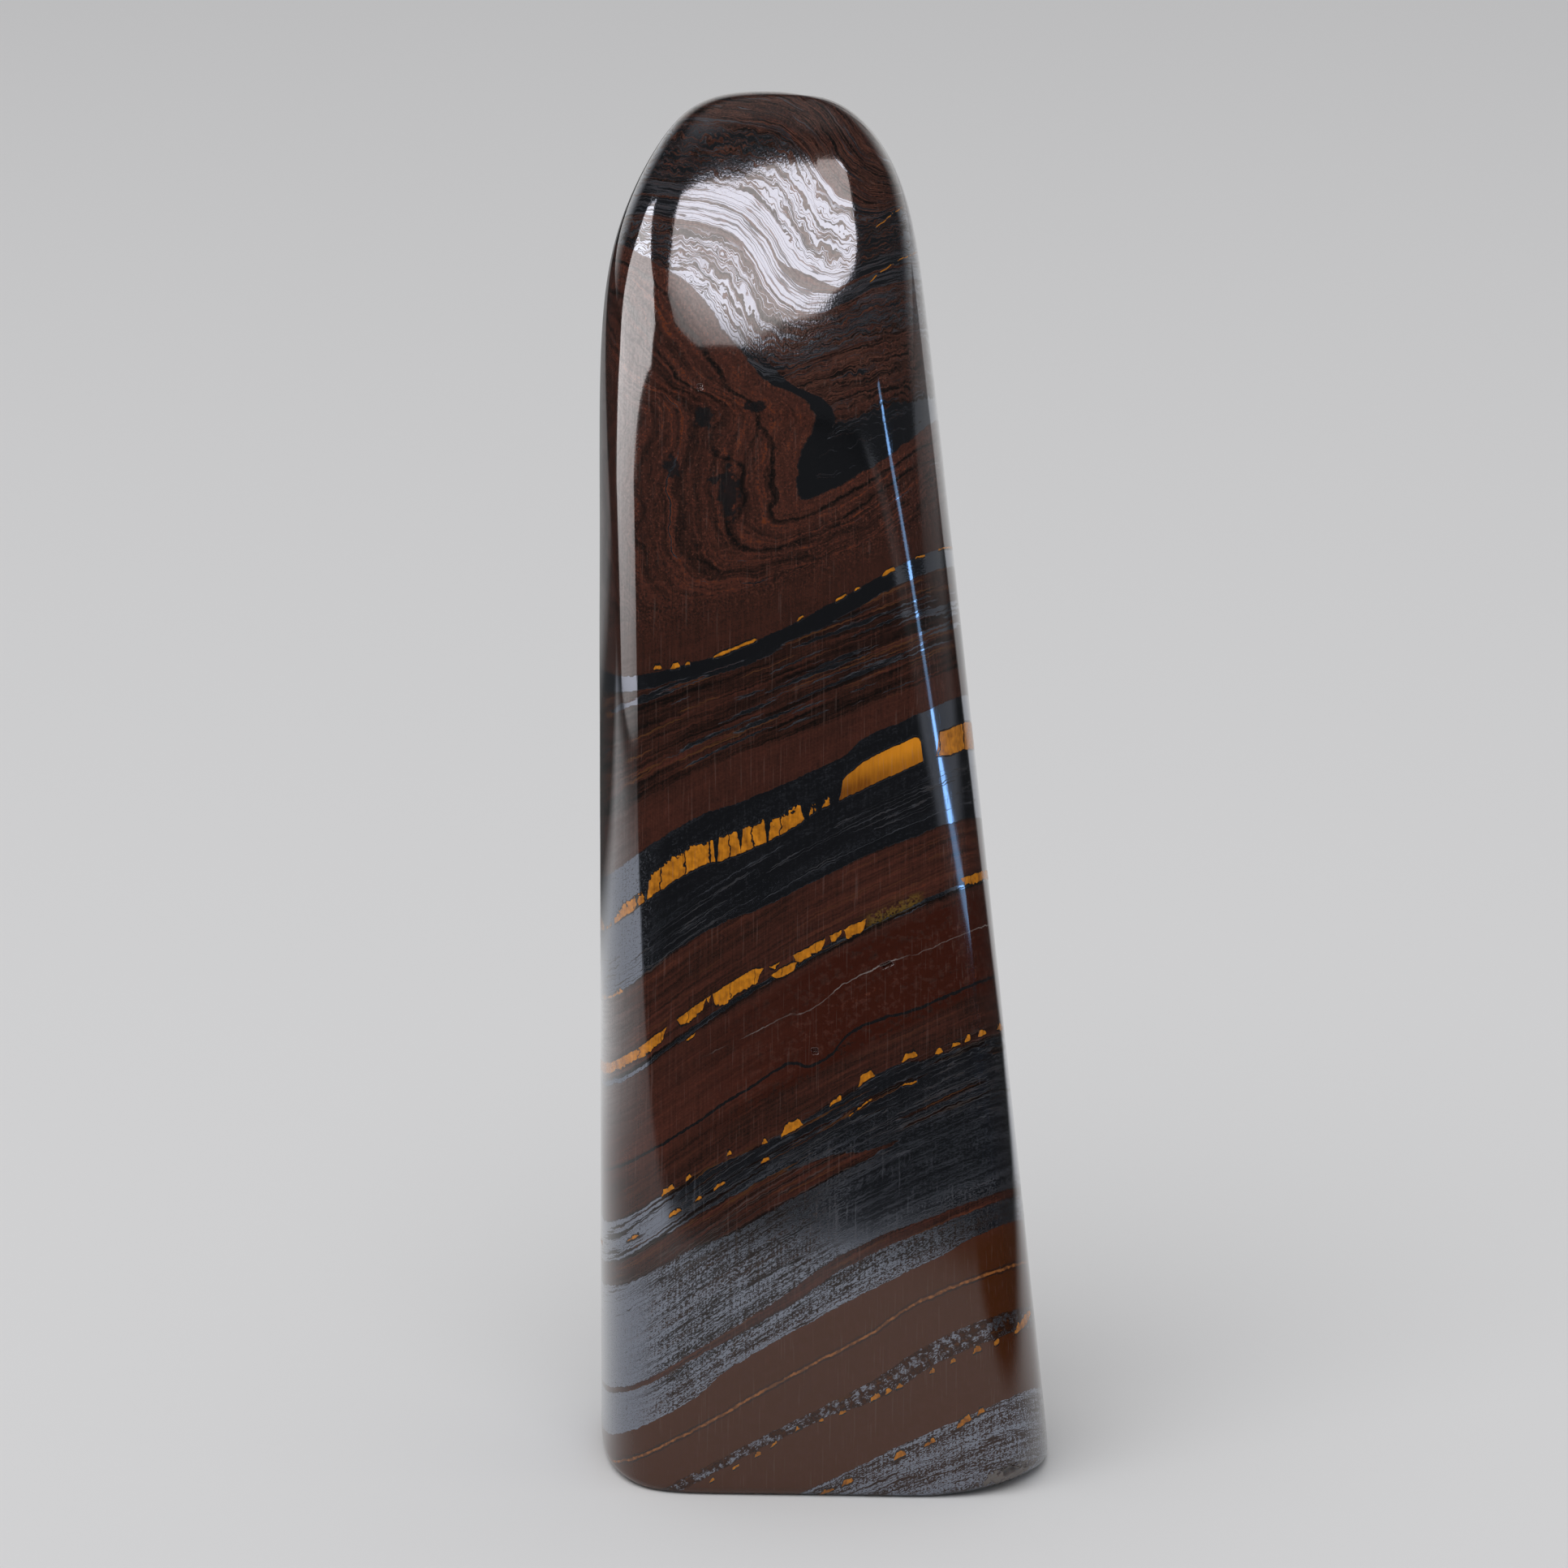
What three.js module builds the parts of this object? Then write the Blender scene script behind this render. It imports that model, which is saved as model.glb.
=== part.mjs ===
// Banded ironstone tower: one free-standing piece of polished tiger iron (hematite, red jasper and
// tiger's eye in one stone). A round-ended blank is ground on flat laps to a few broad facets, and
// tumbling then softens every edge between them. Millimetres and degrees, +Z up, -Y is the front.
// The origin is the centre of the bounding box, on the flat base.
import * as THREE from "three";
import { mergeVertices } from "three/addons/utils/BufferGeometryUtils.js";

// ---- Driving dimensions ------------------------------------------------------------------------
const HEIGHT = 120; // overall, base to crown
const DOME_CENTRE = 92; // height from which the crown's surface is measured radially
const BASE_ROUND = 1.1; // radius of the softened edge round the base

// Each facet is a plane that the lap ground. bearing: the way it faces, turned from the front towards
// the right. lean: how far its face looks upwards. reach: from the axis to the plane, level with the
// base. A face that looks straight up has its height in place of a reach. edge: the length over which
// its rim blends into the facets beside it, so a small value leaves a crisp edge.
const FACETS = [
  { name: "front", bearing: -2, lean: 2.2, reach: 14.6, edge: 1.1 },
  { name: "back", bearing: 178, lean: 2.6, reach: 14.8, edge: 2.2 },
  { name: "left", bearing: -84, lean: 0, reach: 18.0, edge: 2.2 },
  { name: "right", bearing: 90, lean: 6.3, reach: 21.8, edge: 1.6 },
  { name: "front_left", bearing: -52, lean: 0.8, reach: 20.0, edge: 1.2 },
  { name: "front_right", bearing: 60, lean: 5.8, reach: 24.0, edge: 0.9 },
  { name: "shoulder_right", bearing: 58, lean: 9.4, reach: 28.0, edge: 1.0 },
  { name: "back_left", bearing: -135, lean: 2.0, reach: 19.5, edge: 2.4 },
  { name: "back_right", bearing: 132, lean: 4.0, reach: 21.0, edge: 2.4 },
  { name: "crown_front", bearing: 4, lean: 26, reach: 59.6, edge: 1.2 },
  { name: "crown_left", bearing: -88, lean: 32, reach: 84.9, edge: 2.0 },
  { name: "crown_right", bearing: 84, lean: 38, reach: 97.3, edge: 1.5 },
  { name: "crown_back", bearing: 176, lean: 40, reach: 104, edge: 2.6 },
  { name: "crown_top", bearing: 0, lean: 90, height: HEIGHT, edge: 1.0 },
  { name: "base_bevel", bearing: 46, lean: -58, reach: 20.3, edge: 0.5 },
];

// ---- Sampling of the surface -------------------------------------------------------------------
const SEGMENTS = 64; // round the stone
const WALL_RINGS = 40; // from the softened base edge to the level of the dome's centre
const DOME_RINGS = 17; // from there to the crown
const ROUND_RINGS = 4; // in the softened base edge
const BLANK_RADIUS = 20;
const FAR_OUTSIDE = 4 * BLANK_RADIUS; // further along a ray than any facet
const BISECTIONS = 48; // halvings that find a facet along a ray
const WELD = 1e-3; // vertices closer than this are one

const QUARTER_TURN = Math.PI / 2;
const rad = THREE.MathUtils.degToRad;

/** A facet as a plane: its outward unit normal, its distance from the origin and its edge. */
function groundPlane({ bearing, lean, reach, height, edge }) {
  const level = Math.cos(rad(lean));
  const rise = Math.sin(rad(lean));
  const normal = new THREE.Vector3(
    Math.sin(rad(bearing)) * level,
    -Math.cos(rad(bearing)) * level,
    rise,
  );
  const distance = height === undefined ? reach * level : height * rise;
  return { normal, distance, edge };
}

/** True outside the tumbled stone: each plane adds a share that grows as the point nears and passes it. */
function isOutside(point, planes) {
  let share = 0;
  for (const { normal, distance, edge } of planes) {
    share += Math.exp((normal.dot(point) - distance) / edge);
  }
  return share > 1;
}

/** The point of the tumbled surface on a ray from inside the stone. */
function surfacePoint(start, direction, planes) {
  let near = 0;
  let far = FAR_OUTSIDE;
  const point = new THREE.Vector3();
  for (let step = 0; step < BISECTIONS; step++) {
    const middle = (near + far) / 2;
    point.copy(start).addScaledVector(direction, middle);
    if (isOutside(point, planes)) far = middle;
    else near = middle;
  }
  return point;
}

/** Half outline of the blank, from the centre of its base to the top of its dome. */
function blankProfile() {
  const profile = [new THREE.Vector2(0, 0)];
  for (let i = 0; i <= ROUND_RINGS; i++) {
    const turn = (i / ROUND_RINGS) * QUARTER_TURN;
    const inset = BASE_ROUND * (1 - Math.sin(turn));
    profile.push(new THREE.Vector2(BLANK_RADIUS - inset, BASE_ROUND * (1 - Math.cos(turn))));
  }
  for (let i = 1; i <= WALL_RINGS; i++) {
    const height = BASE_ROUND + (i / WALL_RINGS) * (DOME_CENTRE - BASE_ROUND);
    profile.push(new THREE.Vector2(BLANK_RADIUS, height));
  }
  for (let i = 1; i <= DOME_RINGS; i++) {
    const turn = (i / DOME_RINGS) * QUARTER_TURN;
    const radius = i === DOME_RINGS ? 0 : BLANK_RADIUS * Math.cos(turn);
    profile.push(new THREE.Vector2(radius, DOME_CENTRE + BLANK_RADIUS * Math.sin(turn)));
  }
  return profile;
}

/** The blank with every vertex ground back to the facets. */
function grind(planes) {
  const geometry = new THREE.LatheGeometry(blankProfile(), SEGMENTS);
  geometry.rotateX(QUARTER_TURN);
  const position = geometry.getAttribute("position");
  const vertex = new THREE.Vector3();
  for (let i = 0; i < position.count; i++) {
    vertex.fromBufferAttribute(position, i);
    const start = new THREE.Vector3(0, 0, Math.min(vertex.z, DOME_CENTRE));
    const direction = vertex.clone().sub(start);
    const length = direction.length();
    if (length < WELD) continue; // the centre of the base stays
    const ground = surfacePoint(start, direction.normalize(), planes);
    if (vertex.z < BASE_ROUND) ground.addScaledVector(direction, length - BLANK_RADIUS);
    position.setXYZ(i, ground.x, ground.y, ground.z);
  }
  geometry.deleteAttribute("normal");
  geometry.deleteAttribute("uv");
  return mergeVertices(geometry, WELD);
}

/** Puts the bounding box's centre on the Z axis and its base at zero, at the stated height. */
function place(geometry) {
  geometry.computeBoundingBox();
  const { min, max } = geometry.boundingBox;
  geometry.translate(-(min.x + max.x) / 2, -(min.y + max.y) / 2, -min.z);
  return geometry.scale(1, 1, HEIGHT / (max.z - min.z));
}

/** Polished ironstone: dark red-brown on average, glossy, with a metallic share from its hematite. */
function ironstoneFinish() {
  return new THREE.MeshStandardMaterial({ color: 0x40241d, roughness: 0.22, metalness: 0.25 });
}

const tower = new THREE.Mesh(place(grind(FACETS.map(groundPlane))), ironstoneFinish());
tower.name = "ironstone_tower";

const part = new THREE.Group();
part.name = "banded_ironstone";
part.add(tower);

export default part;
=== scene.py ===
"""Polished tower of banded ironstone: hematite, red jasper and golden tiger's eye in one stone.

The stone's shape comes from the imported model. Its bands are one solid material, so they run right
through the stone and meet round its edges. Bands and hollows are measured in millimetres, +Z up the
tower and -Y out of its front. The studio is measured in metres.
"""

import math

import bpy
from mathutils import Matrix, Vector


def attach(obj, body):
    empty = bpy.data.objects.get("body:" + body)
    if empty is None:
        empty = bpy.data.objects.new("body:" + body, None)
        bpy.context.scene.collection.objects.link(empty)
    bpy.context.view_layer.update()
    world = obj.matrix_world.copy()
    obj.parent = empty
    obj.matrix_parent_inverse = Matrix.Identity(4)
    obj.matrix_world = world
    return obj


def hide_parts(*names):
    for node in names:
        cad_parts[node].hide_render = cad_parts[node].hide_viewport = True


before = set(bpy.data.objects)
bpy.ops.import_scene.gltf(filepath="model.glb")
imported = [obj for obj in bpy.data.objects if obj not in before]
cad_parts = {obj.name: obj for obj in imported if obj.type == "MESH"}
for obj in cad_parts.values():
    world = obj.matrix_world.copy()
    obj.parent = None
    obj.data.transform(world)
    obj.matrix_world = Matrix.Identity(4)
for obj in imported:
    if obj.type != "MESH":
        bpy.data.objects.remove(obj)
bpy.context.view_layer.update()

MM = 0.001

# ---- Shader values -----------------------------------------------------------------------------
# The sockets of a Mix node, by number because several of them share a name.
MIX_SHARE = 0
MIX_FIRST_NUMBER, MIX_SECOND_NUMBER = 2, 3
MIX_FIRST_COLOUR, MIX_SECOND_COLOUR = 6, 7
MIXED_COLOUR = 2


class Field:
    """A number that varies from place to place. Arithmetic on it adds the Math nodes that do it."""

    def __init__(self, recipe, socket):
        self.recipe = recipe
        self.socket = socket

    def reckon(self, operation, *numbers):
        return self.recipe.node("ShaderNodeMath", {"operation": operation}, dict(enumerate(numbers)))

    def __add__(self, other):
        return self.reckon("ADD", self, other)

    def __radd__(self, other):
        return self.reckon("ADD", other, self)

    def __sub__(self, other):
        return self.reckon("SUBTRACT", self, other)

    def __rsub__(self, other):
        return self.reckon("SUBTRACT", other, self)

    def __mul__(self, other):
        return self.reckon("MULTIPLY", self, other)

    def __rmul__(self, other):
        return self.reckon("MULTIPLY", other, self)

    def __truediv__(self, other):
        return self.reckon("DIVIDE", self, other)

    def __rtruediv__(self, other):
        return self.reckon("DIVIDE", other, self)

    def __abs__(self):
        return self.reckon("ABSOLUTE", self)

    def root(self):
        return self.reckon("SQRT", self)

    def at_least(self, other):
        return self.reckon("MAXIMUM", self, other)

    def at_most(self, other):
        return self.reckon("MINIMUM", self, other)

    def rise(self, low, high):
        """0 below low and 1 above high, with a smooth step between. It falls where high is the lower."""
        sockets = {"Value": self, "From Min": low, "From Max": high}
        return self.recipe.node("ShaderNodeMapRange", {"interpolation_type": "SMOOTHSTEP"}, sockets)

    def near(self, centre, half_width, blur):
        """1 within half_width of centre, and 0 from blur further out."""
        return abs(self - centre).rise(half_width + blur, half_width)

    def swing(self):
        """How far a noise is from its middle, a half."""
        return self - 0.5


class Recipe:
    """The nodes of a material, or of the world."""

    def __init__(self, owner):
        owner.use_nodes = True
        self.owner = owner
        self.tree = owner.node_tree
        self.tree.nodes.clear()

    def node(self, kind, settings, sockets, output=0):
        """Adds a node: its settings first, then the value or the link of each socket."""
        made = self.tree.nodes.new(kind)
        for name, setting in settings.items():
            if name == "stops":
                self.set_stops(made.color_ramp, setting)
            elif name == "points":
                self.set_points(made.mapping, setting)
            else:
                setattr(made, name, setting)
        for name, value in sockets.items():
            if isinstance(value, Field):
                self.tree.links.new(value.socket, made.inputs[name])
            else:
                made.inputs[name].default_value = value
        return Field(self, made.outputs[output]) if made.outputs else None

    @staticmethod
    def set_stops(ramp, stops):
        while len(ramp.elements) < len(stops):
            ramp.elements.new(1.0)
        for element, (place, colour) in zip(ramp.elements, stops):
            element.position = place
            element.color = (*colour, 1.0)

    @staticmethod
    def set_points(mapping, points):
        curve = mapping.curves[0]
        curve.points[0].location = points[0]
        curve.points[-1].location = points[-1]
        for place in points[1:-1]:
            curve.points.new(*place)
        for point in curve.points:
            point.handle_type = "AUTO_CLAMPED"
        mapping.update()

    def mix(self, first, second, share):
        """A number that goes from first to second as share goes from 0 to 1."""
        sockets = {MIX_SHARE: share, MIX_FIRST_NUMBER: first, MIX_SECOND_NUMBER: second}
        return self.node("ShaderNodeMix", {"data_type": "FLOAT"}, sockets)

    def tint(self, first, second, share):
        """A colour that goes from first to second as share goes from 0 to 1."""
        first, second = ((*c, 1.0) if isinstance(c, tuple) else c for c in (first, second))
        sockets = {MIX_SHARE: share, MIX_FIRST_COLOUR: first, MIX_SECOND_COLOUR: second}
        return self.node("ShaderNodeMix", {"data_type": "RGBA"}, sockets, MIXED_COLOUR)

    def parts(self, kind, sockets):
        """The three numbers that a node splits a place or a colour into."""
        outputs = self.node(kind, {}, sockets).socket.node.outputs
        return [Field(self, outputs[i]) for i in range(3)]

    def coordinates(self, kind="Object"):
        return self.node("ShaderNodeTexCoord", {}, {}, kind)

    def place(self):
        """Where a point of the object is: its three coordinates in metres."""
        return self.parts("ShaderNodeSeparateXYZ", {"Vector": self.coordinates()})

    def spot(self, *sizes):
        """A place, from its three coordinates."""
        return self.node("ShaderNodeCombineXYZ", {}, dict(enumerate(sizes)))

    def cloud(self, place, scale, detail, coarse):
        """Smooth noise about a half, with scale lumps to a millimetre."""
        sockets = {"Vector": place, "Scale": scale, "Detail": detail, "Roughness": coarse}
        return self.node("ShaderNodeTexNoise", {}, sockets)

    def drawn(self, across, points):
        """The height of a line drawn through the given (across, height) points."""
        left, right = points[0][0], points[-1][0]
        heights = [height for _, height in points]
        low, span = min(heights), max(heights) - min(heights)
        shares = [((a - left) / (right - left), (height - low) / span) for a, height in points]
        along = (across - left) / (right - left)
        return self.node("ShaderNodeFloatCurve", {"points": shares}, {"Value": along}) * span + low

    def matt(self, colour):
        return self.node("ShaderNodeBsdfDiffuse", {}, {"Color": (*colour, 1.0)})

    def glow(self, colour, strength):
        return self.node("ShaderNodeEmission", {}, {"Color": (*colour, 1.0), "Strength": strength})

    def clear(self):
        return self.node("ShaderNodeBsdfTransparent", {}, {})

    def between(self, first, second, share):
        """A look that goes from first to second as share goes from 0 to 1."""
        return self.node("ShaderNodeMixShader", {}, {0: share, 1: first, 2: second})

    def show(self, look, output="ShaderNodeOutputMaterial"):
        """Ends the nodes with a look, and returns the material or the world."""
        self.node(output, {}, {"Surface": look})
        return self.owner


# ---- Colours -----------------------------------------------------------------------------------
JASPER_TONES = (
    (0.0, (0.0070, 0.0045, 0.0040)),
    (0.35, (0.031, 0.0125, 0.0092)),
    (0.6, (0.056, 0.0188, 0.0130)),
    (0.78, (0.078, 0.0245, 0.0165)),
    (1.0, (0.135, 0.0320, 0.0110)),
)
HEMATITE = (0.238, 0.256, 0.302)
BLACK_GRAIN = (0.009, 0.009, 0.010)
BROWN_GRAIN = (0.021, 0.016, 0.014)
WORN_STONE = (0.170, 0.158, 0.150)
PALE_FRECKLE = (0.130, 0.052, 0.036)
# GOLD_BRIGHT is the gold's lightest tone. In the rows it is also the colour of the painted sheen and of the
# lens's painted highlight.
GOLD_DEEP = (0.170, 0.052, 0.003)
GOLD_BRIGHT = (0.680, 0.245, 0.007)
OLIVE = (0.135, 0.080, 0.016)
WARM_BROWN = (0.056, 0.0162, 0.0042)
OCHRE = (0.105, 0.044, 0.016)
RUST = (0.360, 0.130, 0.035)
DEEP_RED = (0.040, 0.0080, 0.0040)
QUARTZ = (0.230, 0.200, 0.190)
HAIRLINE = (0.150, 0.130, 0.120)
FLOOR_COLOUR = (0.80, 0.80, 0.81)

# ---- The strata --------------------------------------------------------------------------------
# A rock is (share of hematite, redness of its jasper, strength of its laminae).
BLACK = (1.0, 0.0, 0.22)
STRIPED_BLACK = (0.95, 0.1, 0.75)
# The jasper of the foot is a lighter brown. Its tone also carries painted bounce light from the pale floor
# near the foot.
LIGHT_BROWN_WITH_PAINTED_BOUNCE = (0.0, 0.73, 0.06)
RED = (0.0, 0.62, 0.40)
STRIPED_RED = (0.10, 0.50, 0.60)
STRIPED_BROWN = (0.26, 0.34, 1.0)
SPECKLED = (0.42, 0.20, 0.9)

# Each stratum of the lower stone, from its foot up: the height where it ends, how soft that end is,
# and its rock. Heights are along the tower's axis, before the beds' climb. Where the end is uneven, it
# is a line of (distance to the right of the axis, height).
STRATA = {
    "foot_hematite": (((-20, 1.0), (0, 1.0), (8, 1.5), (14, 1.6), (20, 2.1)), 0.12, (0.95, 0.25, 0.6)),
    # The two jasper beds of the foot are painted lighter, with painted bounce light from the floor.
    "foot_jasper": (((-20, 7.6), (-6, 7.0), (1, 6.7), (5, 6.3), (10, 6.9), (20, 6.9)), 0.15, LIGHT_BROWN_WITH_PAINTED_BOUNCE),
    "speckled_seam": (((-20, 8.9), (-6, 8.1), (0, 8.0), (12, 9.0), (20, 8.7)), 0.15, SPECKLED),
    "low_jasper": (
        ((-20, 15.4), (-11, 15.5), (-8, 16.3), (9, 16.2), (14, 16.8), (20, 16.7)),
        0.06, LIGHT_BROWN_WITH_PAINTED_BOUNCE,
    ),
    "low_hematite": (
        ((-20, 19.6), (-11, 19.2), (-3, 18.8), (2, 19.4), (8, 19.2), (20, 18.8)),
        0.12, STRIPED_BLACK,
    ),
    "parting": (((-20, 20.2), (-6, 19.9), (2, 20.7), (8, 20.3), (20, 19.6)), 0.25, (0.10, 0.48, 0.7)),
    "broad_hematite": (
        ((-20, 30.2), (-11, 29.1), (-5, 28.1), (5, 28.2), (12, 29.0), (20, 30.0)),
        0.45, STRIPED_BLACK,
    ),
    "brown_over_hematite": (
        ((-20, 32.4), (-9, 31.6), (0, 30.2), (5, 28.6), (12, 28.0), (20, 29.0)),
        0.2, (0.08, 0.42, 0.8),
    ),
    "black_seam": (
        ((-20, 36.2), (-11, 35.6), (-4, 34.5), (5, 35.2), (9, 34.4), (20, 33.6)),
        0.15, (0.68, 0.15, 1.0),
    ),
    "brown_jasper": (39.3, 0.3, (0.04, 0.46, 0.55)),
    "red_jasper": (44.4, 0.3, RED),
    "upper_red_jasper": (48.1, 0.25, (0.0, 0.54, 0.35)),
    "black_under_beads": (48.8, 0.15, (0.45, 0.1, 1.0)),
    "striped_red": (((-20, 55.6), (-12, 56.3), (-4, 55.1), (6, 54.8), (20, 53.8)), 0.3, STRIPED_RED),
    "black_under_gold": (61.0, 0.1, BLACK),
    "black_over_gold": (
        ((-20, 65.8), (-12, 65.6), (-4, 64.6), (1, 64.6), (4, 65.6), (20, 65.6)),
        0.08, BLACK,
    ),
    "plain_jasper": (((-20, 69.3), (-9, 68.9), (2, 68.2), (20, 68.2)), 0.2, (0.0, 0.55, 0.2)),
    "striped_brown": (((-20, 77.4), (-8, 76.5), (2, 77.0), (7, 77.6), (20, 77.6)), 0.25, STRIPED_BROWN),
    "black_under_top_gold": (
        ((-20, 79.0), (-10, 77.5), (2, 78.6), (7, 79.2), (20, 79.4)),
        0.08, (1.0, 0.0, 0.3),
    ),
    "massive_brown": (None, 0.0, (0.0, 0.47, 0.14)),
}

# Outside the fold, from its core outwards, by distance from the core's rim. Some of the ends vary
# with the height above the base.
FOLD_WRAP = {
    "red_wrap": (
        ((76, 1.3), (86, 1.3), (88.2, 0.9), (91, 1.1), (93.5, 1.9), (95, 2.5), (98.7, 1.5), (114, 1.2)),
        0.08, (0.0, 0.68, 0.40),
    ),
    "dark_line": (
        ((76, 1.55), (86, 1.55), (88.2, 1.2), (91, 1.4), (93.5, 2.2), (95, 2.75), (98.7, 1.8), (114, 1.4)),
        0.08, (0.10, 0.16, 0.5),
    ),
    "second_wrap": (
        ((76, 3.4), (84, 3.2), (87.4, 2.4), (89.4, 2.3), (91, 3.2), (93, 4.1), (97, 3.7), (114, 3.2)),
        0.15, (0.05, 0.58, 0.85),
    ),
    "second_dark_line": (
        ((76, 3.8), (84, 3.6), (87.4, 2.75), (89.4, 2.65), (91, 3.6), (93, 4.5), (97, 4.0), (114, 3.5)),
        0.12, (0.15, 0.18, 0.8),
    ),
    "striped_wrap": (6.9, 0.5, (0.12, 0.50, 0.9)),
    "outer_wrap": (None, 0.0, (0.08, 0.47, 0.6)),
}

# Inside the fold, upwards, by height over the lower edge of the crown's lower bright band. The ends
# that vary do so along the band.
FOLD_CORE = {
    "core": (-12.6, 1.2, (0.74, 0.22, 0.85)),
    "contorted": (-5.2, 0.8, (0.20, 0.34, 1.0)),
    "crinkled_brown": (0.0, 0.10, (0.30, 0.32, 0.9)),
    "lower_bright": (1.6, 0.08, (1.0, 0.0, 0.35)),
    "grey_lens": (
        ((-26, 1.75), (-8, 1.8), (-5, 2.1), (-2.7, 2.6), (-0.5, 2.3), (2, 1.9), (16, 1.8)),
        0.08, (0.0, 0.33, 0.3),
    ),
    "upper_bright": (((-26, 2.7), (-8, 3.2), (-2.7, 4.1), (0, 3.6), (16, 3.2)), 0.10, (1.0, 0.0, 0.40)),
    "crinkled_bright": (8.2, 0.8, (0.74, 0.30, 0.8)),
    "crown": (None, 0.0, (0.18, 0.34, 1.0)),
}

# The rim of the fold's core on its left side: (height, distance to the right of the axis).
LEFT_LIMB = (
    (84.0, -2.8), (87.4, -2.2), (88.6, -2.5), (90.6, -2.3), (93.1, -1.4), (94.6, -0.9), (95.4, -1.3),
    (96.3, -2.4), (97.5, -4.8), (98.7, -6.0), (100.8, -7.7), (102.5, -9.0), (104.6, -10.4),
    (106.0, -11.8), (108.2, -15.1), (111.0, -20.0),
)

# The lower bright band of the crown: (distance to the right, height).
CROWN_BED = (
    (-26.0, 112.6), (-16.2, 111.5), (-13.2, 110.9), (-10.6, 109.8), (-8.1, 108.0), (-5.6, 105.8),
    (-2.9, 104.2), (-0.6, 103.6), (1.0, 104.3), (4.1, 105.8), (8.2, 107.4), (16.0, 110.6),
)

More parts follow.
